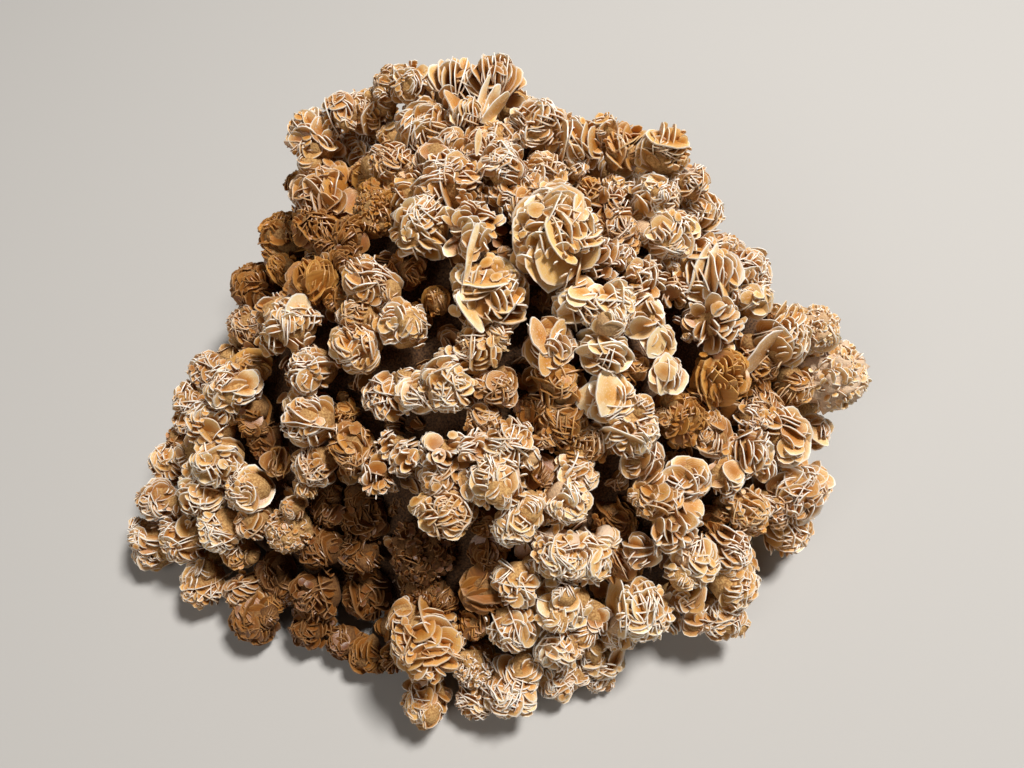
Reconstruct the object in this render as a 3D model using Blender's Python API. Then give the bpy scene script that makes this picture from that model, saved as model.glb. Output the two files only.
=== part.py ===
"""Gypsum sand rose, a mound of crystal rosettes grown together on a sandy core.

Metres, +Z up, front towards -Y, at real size. The cluster rests on its flat broken underside at
z = 0, and the origin is below the middle of its box.
"""

import itertools
import math
import random

import bmesh
import bpy
from mathutils import Matrix, Vector
from mathutils.bvhtree import BVHTree

for thing in list(bpy.data.objects):
    bpy.data.objects.remove(thing, do_unlink=True)

# The mound, in metres: where its summit stands and how its slopes fall.
SUMMIT = Vector((0.0067, 0.0926))
SUMMIT_HEIGHT = 0.185
SLOPE_ROUNDING = 0.85
OUTER_FALL = 2.2

# The sandy core inside it. HEART is the point that the crystals grew out from.
CORE_DEPTH = 0.008
CORE_TURNS = 32
CORE_LUMP = 0.0015
HOLLOW_SPREAD = 0.016
HEART = Vector((0.0117, -0.0174, 0.0400))

# Each rosette is a ball of crossing blades: the blades reach past the mean radius, and the pits
# between them lie part of the way in.
BLADE_REACH = 1.06
PIT_SHARE = 0.72
FOUR_BLADE_RADIUS = 0.0115
UNDERSIDE_CLEAR = 1.12
UNDERSIDE_GAP = 0.0008
UNDERSIDE_SNAP = 0.0004
ROOT_FREE = 0.6

# The rosettes that fill the flanks and the back: radius and sinking in metres, and how far they
# may show between the placed ones.
FILL_PASSES = ((0.0145, 0.0, 1.2), (0.0105, 0.0, 1.2), (0.0110, 0.006, 1.6))
FILL_SPACING = 1.75
# Their rings, as a share of the mound's reach and how far down from its edge to the foot.
FILL_RINGS = (
    (0.25, 0), (0.45, 0), (0.62, 0), (0.76, 0), (0.88, 0), (0.97, 0), (1.0, 0.25), (0.97, 0.5),
    (0.93, 0.75), (0.90, 1.0), (0.8, 1.0),
)
# The core's rings, as a share of the reach and of the edge's height; 1 is on the mound itself.
CORE_RINGS = (
    (0.86, 0), (0.96, 0.35), (1.0, 0.7), (0.96, 1), (0.88, 1), (0.76, 1), (0.60, 1), (0.42, 1),
    (0.22, 1),
)
MOST_TRIANGLES = 9600
SEED = 7

# Reach of the rosettes from the summit, their height at that edge and how full the slope is:
# degrees, mm, mm, power.
EDGE = (
    (0, 140, 40, 1.2), (20, 122, 40, 1.0), (45, 104, 40, 1.0), (70, 94, 45, 1.1),
    (90, 92, 45, 1.7), (120, 104, 45, 1.8), (150, 135, 40, 1.8), (180, 160, 35, 1.6),
    (195, 182, 30, 1.6), (205, 205, 30, 1.7), (215, 250, 26, 1.8), (222, 274, 24, 1.8),
    (235, 268, 22, 1.8), (248, 258, 22, 1.8), (262, 276, 22, 1.8), (270, 274, 24, 1.8),
    (281, 254, 34, 1.8), (295, 266, 40, 1.8), (309, 251, 45, 1.8), (321, 226, 60, 1.8),
    (332, 224, 80, 1.8), (337, 194, 85, 1.7), (346, 164, 60, 1.5), (360, 140, 40, 1.2),
)

# A sight grid, 1024 columns by 768 rows, is laid over the cluster from a point above its front.
# Each rosette is placed by its column, row and half width on that grid, and by how many mm it is
# sunk below the mound.
EYE = Vector((0.0117, -0.2424, 0.4770))
EYE_PITCH = math.radians(61.0)
EYE_REACH = 770.0
GRID_CENTRE = (512.0, 384.0)
ROSETTES = (
    # Top ridge and what stands under it.
    (316, 142, 28, 0), (343, 112, 20, 2), (360, 152, 26, 0), (384, 125, 20, 4), (394, 168, 25, 2),
    (388, 86, 15, 4), (411, 86, 22, 0), (428, 132, 30, 2), (456, 92, 32, 0), (494, 88, 32, 0),
    (474, 120, 22, 2), (302, 186, 16, 6), (330, 200, 38, 0), (378, 196, 20, 8), (450, 185, 34, 2),
    (503, 168, 26, 0), (540, 128, 28, 0), (545, 175, 24, 6), (580, 146, 26, 0), (604, 128, 14, 4),
    (624, 152, 28, 0), (662, 156, 26, 2), (655, 200, 26, 0), (690, 183, 20, 4), (700, 214, 24, 2),
    (668, 236, 30, 0), (590, 196, 20, 10), (610, 205, 22, 6),
    # Shoulder below the ridge.
    (286, 238, 26, 4), (316, 232, 24, 0), (352, 236, 20, 4), (378, 215, 26, 10), (424, 230, 34, -2),
    (470, 235, 34, -4), (492, 297, 40, -2), (556, 238, 50, -8), (520, 205, 20, 6),
    (600, 262, 28, 6), (636, 280, 28, 2), (618, 232, 22, 4), (258, 288, 26, 6), (285, 270, 18, 4),
    (318, 282, 27, 0), (350, 262, 20, 4), (372, 285, 27, -2), (410, 270, 20, 10), (706, 278, 34, 0),
    (744, 272, 24, 2), (668, 290, 22, 6), (750, 300, 22, 2), (695, 250, 20, 6),
    # Upper face.
    (247, 325, 20, 6), (270, 343, 14, 0), (295, 326, 30, -4), (316, 368, 26, 0), (362, 316, 22, -2),
    (360, 350, 28, 0), (404, 328, 28, 0), (340, 300, 16, 2), (438, 302, 16, 12), (480, 346, 28, 0),
    (548, 345, 30, -2), (580, 306, 28, -4), (606, 312, 30, -6), (641, 318, 24, -4),
    (603, 352, 28, -6), (657, 342, 19, -4), (665, 374, 20, -6), (634, 368, 18, 8),
    (545, 300, 14, 20), (710, 325, 36, -2), (775, 340, 32, 0), (715, 378, 32, 2), (750, 360, 22, 8),
    (812, 330, 26, 2), (830, 375, 36, 0), (790, 385, 24, 10),
    # Middle face.
    (212, 370, 20, 6), (232, 388, 27, -4), (252, 366, 18, 6), (192, 402, 18, 6), (188, 418, 14, 4),
    (215, 424, 26, 0), (252, 410, 20, 10), (312, 421, 28, -4), (344, 412, 16, 12),
    (388, 396, 26, 4), (418, 394, 24, -2), (448, 386, 30, -6), (498, 388, 24, 4), (484, 418, 20, 8),
    (510, 443, 27, -2), (472, 450, 24, 2), (559, 384, 28, 2), (560, 420, 28, 6), (609, 400, 27, -2),
    (628, 428, 30, -2), (593, 440, 22, 8), (575, 452, 20, 10), (680, 420, 28, 10),
    (640, 458, 24, 8), (714, 436, 22, 4), (742, 452, 28, -2), (778, 438, 32, 0), (812, 432, 18, 2),
    (760, 405, 20, 8), (722, 475, 22, 0), (538, 472, 20, 12), (530, 410, 16, 14),
    # Lower face.
    (178, 438, 12, 8), (220, 460, 28, -2), (172, 464, 22, 4), (280, 462, 16, 6), (318, 463, 23, 0),
    (357, 451, 28, 4), (396, 446, 20, 2), (412, 458, 22, 0), (442, 452, 24, -2), (380, 474, 24, 0),
    (441, 478, 22, 0), (449, 512, 29, -2), (498, 480, 31, -6), (514, 520, 26, -4),
    (577, 472, 22, 2), (567, 497, 25, -4), (540, 508, 18, 6), (685, 478, 24, 2), (656, 498, 26, 4),
    (668, 522, 32, -2), (640, 550, 20, 2), (745, 508, 24, 4), (788, 490, 34, 2), (784, 530, 26, 4),
    (205, 490, 27, -2), (160, 500, 21, 4), (252, 490, 23, -2), (235, 476, 16, 4), (256, 520, 20, 0),
    (307, 486, 15, -2), (295, 506, 14, -2), (268, 440, 20, 22),
    # Front.
    (152, 540, 20, 2), (190, 536, 26, -2), (226, 528, 26, -4), (172, 562, 20, 0), (240, 552, 18, 2),
    (290, 530, 24, 4), (328, 505, 20, 26), (366, 512, 26, 34), (325, 546, 26, 22),
    (361, 549, 24, 30), (424, 550, 34, 24), (405, 500, 16, 46), (484, 520, 18, 18),
    (490, 552, 20, 20), (516, 580, 25, 2), (485, 590, 25, 10), (560, 551, 31, -8),
    (586, 555, 30, -4), (545, 540, 16, 2), (692, 560, 28, -2), (728, 550, 26, 4), (730, 583, 28, 0),
    (640, 606, 34, -4), (620, 630, 20, 2), (685, 592, 20, 8), (620, 560, 24, 14),
    (276, 570, 20, 20),
    # Front edge, down to the foot.
    (216, 590, 24, 0), (248, 590, 22, 0), (268, 626, 24, 2), (285, 590, 18, 14), (320, 594, 27, 10),
    (316, 630, 22, 4), (346, 642, 18, 4), (368, 652, 20, 4), (396, 655, 18, 8), (427, 638, 37, -4),
    (430, 698, 25, 0), (474, 665, 22, 6), (476, 697, 22, 2), (508, 682, 30, 0), (513, 624, 27, -2),
    (474, 622, 18, 12), (564, 600, 30, -4), (560, 640, 28, -4), (558, 678, 23, 0),
    (597, 655, 26, 0), (718, 614, 26, 2), (693, 622, 14, 6), (592, 680, 16, 2), (425, 590, 24, 26),
    (374, 600, 26, 60),
    # Deep in the gaps.
    (612, 520, 26, 30), (712, 520, 20, 20), (752, 385, 18, 12), (446, 600, 14, 14),
)


def edge_at(angle):
    """Reach and height of the mound's edge at an angle in degrees, and the power of its slope."""
    for (start, *low), (end, *high) in zip(EDGE, EDGE[1:]):
        if start <= angle <= end:
            share = (angle - start) / (end - start)
            reach, height, power = (a + (b - a) * share for a, b in zip(low, high))
            return reach / 1000, height / 1000, power
    raise ValueError("an angle lies from 0 to 360")


def mound_height(x, y):
    """Height of the rosette centres above the foot, falling away beyond the edge."""
    away = Vector((x, y)) - SUMMIT
    reach, low, power = edge_at(math.degrees(math.atan2(away.y, away.x)) % 360)
    share = away.length / reach
    if share >= 1:
        return low - (away.length - reach) * OUTER_FALL
    return low + (SUMMIT_HEIGHT - low) * (1 - share**power) ** SLOPE_ROUNDING


def sight_line(column, row):
    """Direction from the eye through a point of the grid, one unit deep."""
    across = (column - GRID_CENTRE[0]) / EYE_REACH
    up = (GRID_CENTRE[1] - row) / EYE_REACH
    return Vector((
        across,
        math.cos(EYE_PITCH) + up * math.sin(EYE_PITCH),
        -math.sin(EYE_PITCH) + up * math.cos(EYE_PITCH),
    ))


def on_grid(spot):
    """Column, row and depth of a point as seen from the eye."""
    away = spot - EYE
    depth = away.dot(sight_line(*GRID_CENTRE))
    up = away.y * math.sin(EYE_PITCH) + away.z * math.cos(EYE_PITCH)
    return (
        GRID_CENTRE[0] + EYE_REACH * away.x / depth,
        GRID_CENTRE[1] - EYE_REACH * up / depth,
        depth,
    )


def above_foot(spot, radius):
    """The spot, raised where a rosette of this radius would reach below the underside."""
    return Vector((spot.x, spot.y, max(spot.z, radius * UNDERSIDE_CLEAR + UNDERSIDE_GAP)))


def place(column, row, half, sunk):
    """Centre and radius of a rosette: where its sight line meets the mound, or passes closest."""
    line = sight_line(column, row)
    best = None
    for depth in range(260, 640):
        spot = EYE + line * (depth / 1000)
        clear = spot.z - mound_height(spot.x, spot.y) + sunk / 1000
        if best is None or clear < best[0]:
            best = (clear, spot, depth / 1000)
        if clear <= 0:
            break
    _, spot, depth = best
    radius = half * depth / EYE_REACH
    return above_foot(spot, radius), radius


def screened(spot, radius, screen, spread):
    """Whether the placed rosettes, spread a little, stand between the eye and this one."""
    column, row, depth = on_grid(spot)
    half = EYE_REACH * radius / depth
    for turn in range(8):
        x = column + half * math.cos(turn * math.pi / 4)
        y = row + half * math.sin(turn * math.pi / 4)
        if not any(
            (x - c) ** 2 + (y - r) ** 2 < (spread * h) ** 2 and d < depth
            for c, r, h, d in screen
        ):
            return False
    return True


def fill(placed):
    """Rosettes on the flanks and the back, ring by ring, where the placed ones leave room."""
    chance = random.Random(SEED)
    screen = []
    for spot, radius in placed:
        column, row, depth = on_grid(spot)
        screen.append((column, row, EYE_REACH * radius / depth, depth))
    found = []
    for (size, sunk, spread), (share, drop) in itertools.product(FILL_PASSES, FILL_RINGS):
        for turn in range(120):
            angle = turn * 3 + chance.uniform(-1, 1)
            radius = size * chance.uniform(0.85, 1.2)
            reach, low, _ = edge_at(angle % 360)
            x = SUMMIT.x + share * reach * math.cos(math.radians(angle))
            y = SUMMIT.y + share * reach * math.sin(math.radians(angle))
            z = mound_height(x, y) if drop == 0 else low * (1 - drop)
            spot = above_foot(Vector((x, y, z - sunk)), radius)
            gaps = ((spot - other).length for other, _ in placed + found)
            if min(gaps) >= FILL_SPACING * size and screened(spot, radius, screen, spread):
                found.append((spot, radius))
    return found


def signs(count):
    """Every choice of -1 and +1."""
    return itertools.product((-1, 1), repeat=count)


def ball(four_blades):
    """Rim points of crossing blades, the pits between them, and the faces that join them."""
    axes = [Vector(axis) * sign for axis in ((1, 0, 0), (0, 1, 0), (0, 0, 1)) for sign in (-1, 1)]
    corners = [Vector(corner).normalized() for corner in signs(3)]
    if four_blades:
        rim = [Vector((a, b, 0)).normalized() for a, b in signs(2)]
        rim += [Vector((a, 0, b)).normalized() for a, b in signs(2)]
        rim += [Vector((0, a, b)).normalized() for a, b in signs(2)]
        pits = corners + axes
    else:
        rim, pits = axes, corners
    faces = []
    for number, pit in enumerate(pits):
        nearest = max(pit.dot(point) for point in rim)
        ring = [i for i, point in enumerate(rim) if pit.dot(point) > nearest - 0.01]
        side = pit.orthogonal().normalized()
        other = pit.cross(side)
        ring.sort(key=lambda i: math.atan2(rim[i].dot(other), rim[i].dot(side)))
        for a, b in zip(ring, ring[1:] + ring[:1]):
            faces.append((a, b, len(rim) + number))
    return rim, pits, faces


def crystal(name, points, faces):
    """A closed solid to be grown into the cluster: a guide, hidden from the render."""
    mesh = bpy.data.meshes.new(name)
    mesh.from_pydata(points, [], faces)
    made = bpy.data.objects.new(name, mesh)
    made.hide_render = True
    made.display_type = "WIRE"
    crystals.objects.link(made)


def rosette(name, spot, radius, four_blades):
    """A ball of crossing blades, turned at random."""
    rim, pits, faces = ball(four_blades)
    turn = Matrix.Rotation(chance.uniform(0, math.tau), 3, "Z")
    turn = turn @ Matrix.Rotation(chance.uniform(0, math.pi), 3, "X")
    turn = turn @ Matrix.Rotation(chance.uniform(0, math.tau), 3, "Z")
    reach = radius * BLADE_REACH
    points = [spot + turn @ point * reach * chance.uniform(0.94, 1.04) for point in rim]
    reach = radius * PIT_SHARE
    points += [spot + turn @ point * reach * chance.uniform(0.9, 1.1) for point in pits]
    crystal(name, points, faces)


def root(name, spot, radius, skin):
    """A wedge of crystal that ties a rosette standing clear of the core to it."""
    inward = (HEART - spot).normalized()
    ground = skin.ray_cast(spot, inward)[0]
    if ground is None or (ground - spot).length < ROOT_FREE * radius:
        return
    gap = (ground - spot).length
    side = inward.orthogonal().normalized() * radius * 0.55
    other = inward.cross(side)
    waist = spot + inward * gap * 0.6
    points = [spot, spot + inward * (gap + radius)]
    points += [waist + side, waist + other, waist - side, waist - other]
    faces = []
    for a, b in ((2, 3), (3, 4), (4, 5), (5, 2)):
        faces += [(0, b, a), (1, a, b)]
    crystal(name, points, faces)


def sink_at(x, y):
    """How far the rosettes near a spot are sunk, in metres: the core is hollowed there."""
    total, weight = 0.0, 1e-3
    for (_, _, _, sunk), (spot, _) in zip(ROSETTES, placed):
        gap = (spot.x - x) ** 2 + (spot.y - y) ** 2
        near = math.exp(-gap / (2 * HOLLOW_SPREAD**2))
        total += near * sunk / 1000
        weight += near
    return total / weight


def core_point(angle, share, lift):
    """A point of the core's skin; lift runs from the underside up the wall, and 1 is on top."""
    reach, low, _ = edge_at(angle)
    away = (reach - CORE_DEPTH) * share
    x = SUMMIT.x + away * math.cos(math.radians(angle))
    y = SUMMIT.y + away * math.sin(math.radians(angle))
    if lift == 0:
        return Vector((x, y, 0))
    top = max(mound_height(x, y) - CORE_DEPTH - sink_at(x, y), low * 0.7)
    lump = Vector([chance.uniform(-CORE_LUMP, CORE_LUMP) for _ in "xyz"])
    return Vector((x, y, low * lift if lift < 1 else top)) + lump


def core():
    """The sandy core under the rosettes, closed below by its flat broken underside."""
    body = bmesh.new()
    rings = []
    for share, lift in CORE_RINGS:
        angles = (360 * turn / CORE_TURNS for turn in range(CORE_TURNS))
        rings.append([body.verts.new(core_point(angle, share, lift)) for angle in angles])
    top = body.verts.new((*SUMMIT, SUMMIT_HEIGHT - CORE_DEPTH))
    for low, high in zip(rings, rings[1:]):
        for turn in range(CORE_TURNS):
            after = (turn + 1) % CORE_TURNS
            body.faces.new((low[turn], low[after], high[after], high[turn]))
    for turn in range(CORE_TURNS):
        body.faces.new((rings[-1][turn], rings[-1][(turn + 1) % CORE_TURNS], top))
    body.faces.new(rings[0][::-1])
    bmesh.ops.triangulate(body, faces=body.faces)
    mesh = bpy.data.meshes.new("sand_rose")
    body.to_mesh(mesh)
    body.free()
    made = bpy.data.objects.new("sand_rose", mesh)
    bpy.context.scene.collection.objects.link(made)
    return made


def evaluated(thing):
    """The object's mesh as its modifiers leave it."""
    body = bmesh.new()
    body.from_object(thing, bpy.context.evaluated_depsgraph_get())
    return body


def keep_outer_skin(body):
    """Removes the closed pockets left between rosettes, which nothing outside reaches."""
    left = set(body.faces)
    shells = []
    while left:
        start = left.pop()
        shell, front = {start}, [start]
        while front:
            for edge in front.pop().edges:
                for face in left.intersection(edge.link_faces):
                    left.remove(face)
                    shell.add(face)
                    front.append(face)
        shells.append(shell)
    outer = max(shells, key=len)
    inner = [face for face in body.faces if face not in outer]
    bmesh.ops.delete(body, geom=inner, context="FACES")


chance = random.Random(SEED)
placed = [place(*row) for row in ROSETTES]
placed += fill(placed)
crystals = bpy.data.collections.new("crystals")
bpy.context.scene.collection.children.link(crystals)
cluster = core()
skin = BVHTree.FromObject(cluster, bpy.context.evaluated_depsgraph_get())
for number, (spot, radius) in enumerate(placed):
    four_blades = number < len(ROSETTES) and radius > FOUR_BLADE_RADIUS
    rosette(f"rosette.{number:03d}", spot, radius, four_blades)
    root(f"root.{number:03d}", spot, radius, skin)

union = cluster.modifiers.new("grown together", "BOOLEAN")
union.operation = "UNION"
union.operand_type = "COLLECTION"
union.collection = crystals
grown = evaluated(cluster)
keep_outer_skin(grown)
bmesh.ops.triangulate(grown, faces=grown.faces)
cluster.modifiers.remove(union)
grown.to_mesh(cluster.data)
grown.free()
for guide in list(crystals.objects):
    bpy.data.objects.remove(guide, do_unlink=True)
bpy.data.collections.remove(crystals)

merged = cluster.modifiers.new("small facets merged", "DECIMATE")
merged.ratio = MOST_TRIANGLES / len(cluster.data.polygons)
faceted = evaluated(cluster)
cluster.modifiers.remove(merged)
for vert in faceted.verts:
    if abs(vert.co.z) < UNDERSIDE_SNAP:
        vert.co.z = 0.0
faceted.to_mesh(cluster.data)
faceted.free()

gypsum = bpy.data.materials.new("gypsum")
gypsum.use_nodes = True
shader = gypsum.node_tree.nodes["Principled BSDF"]
shader.inputs["Base Color"].default_value = (0.62, 0.46, 0.29, 1)
shader.inputs["Roughness"].default_value = 0.62
cluster.data.materials.append(gypsum)
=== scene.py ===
"""Gypsum sand rose: a mound of crystal rosettes on a sandy core, finished blade by blade.

Metres, +Z up, front towards -Y. The cluster stands on z = 0, with the origin under the middle
of its box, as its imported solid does.
"""

import collections
import itertools
import math
import random

import bmesh
import bpy
import numpy as np
from mathutils import Matrix, Vector, noise


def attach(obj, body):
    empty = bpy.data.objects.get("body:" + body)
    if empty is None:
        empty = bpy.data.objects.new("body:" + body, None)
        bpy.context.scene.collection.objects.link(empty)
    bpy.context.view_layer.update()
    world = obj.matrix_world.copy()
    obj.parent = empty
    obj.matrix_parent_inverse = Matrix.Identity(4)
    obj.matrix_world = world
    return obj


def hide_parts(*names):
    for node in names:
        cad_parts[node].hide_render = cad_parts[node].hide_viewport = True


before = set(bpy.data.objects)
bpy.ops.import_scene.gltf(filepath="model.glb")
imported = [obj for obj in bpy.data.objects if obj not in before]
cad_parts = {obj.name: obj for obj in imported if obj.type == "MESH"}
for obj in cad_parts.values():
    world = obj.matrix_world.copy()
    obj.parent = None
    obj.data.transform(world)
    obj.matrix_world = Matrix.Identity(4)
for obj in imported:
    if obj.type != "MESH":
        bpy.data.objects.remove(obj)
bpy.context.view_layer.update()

# ------------------------------------------------------------------------------ sandy core
# The core is dune sand that gypsum has cemented into one lump. The rosettes are rooted in it,
# and it shows only as dark rough sand deep in the gaps and on the broken underside.
SUMMIT = Vector((0.0067, 0.0926))
SUMMIT_HEIGHT = 0.185
SLOPE_ROUNDING = 0.85
OUTER_FALL = 2.2
# The core lies this far below the centres of the rosettes.
CORE_DEPTH = 0.022
CORE_TURNS = 140
# Height of the core's wall and least height of its top, as shares of the edge's height.
CORE_WALL = 0.8
CORE_TOP_LEAST = 0.6
CORE_CLEAR = 0.001
# Lumps of its skin: how many to a metre and how high.
CORE_LUMPS = ((60, 0.0025), (420, 0.0008))
HOLLOW_SPREAD = 0.016
# The core's rings, as a share of the reach and of the edge's height; 1 is on the mound itself.
CORE_RINGS = (
    (0.86, 0), (0.93, 0.12), (0.96, 0.35), (0.98, 0.55), (0.99, 0.8), (0.96, 1), (0.92, 1),
    (0.88, 1), (0.82, 1), (0.76, 1), (0.70, 1), (0.64, 1), (0.58, 1), (0.52, 1), (0.46, 1),
    (0.40, 1), (0.34, 1), (0.28, 1), (0.22, 1), (0.16, 1), (0.10, 1), (0.05, 1),
)

# Reach of the rosettes from the summit, their height at that edge and how full the slope is:
# degrees, mm, mm, power.
EDGE = (
    (0, 140, 40, 1.2), (20, 122, 40, 1.0), (45, 104, 40, 1.0), (70, 94, 45, 1.1),
    (90, 92, 45, 1.7), (120, 104, 45, 1.8), (150, 135, 40, 1.8), (180, 160, 35, 1.6),
    (195, 182, 30, 1.6), (205, 205, 30, 1.7), (215, 250, 26, 1.8), (222, 274, 24, 1.8),
    (235, 268, 22, 1.8), (248, 258, 22, 1.8), (262, 276, 22, 1.8), (270, 274, 24, 1.8),
    (281, 254, 34, 1.8), (295, 266, 40, 1.8), (309, 251, 45, 1.8), (321, 226, 60, 1.8),
    (332, 224, 80, 1.8), (337, 194, 85, 1.7), (346, 164, 60, 1.5), (360, 140, 40, 1.2),
)


# A sight grid, 1024 columns by 768 rows, is laid over the cluster from a point above its front.
# Each rosette has its column, row and half width on that grid, how many mm it is sunk below the
# mound, and its kind: r rosette, b broad blades, f fan of blades, d flat discs, x shards,
# s sandy mass.
EYE = Vector((0.0117, -0.2424, 0.4770))
EYE_PITCH = math.radians(61.0)
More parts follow.
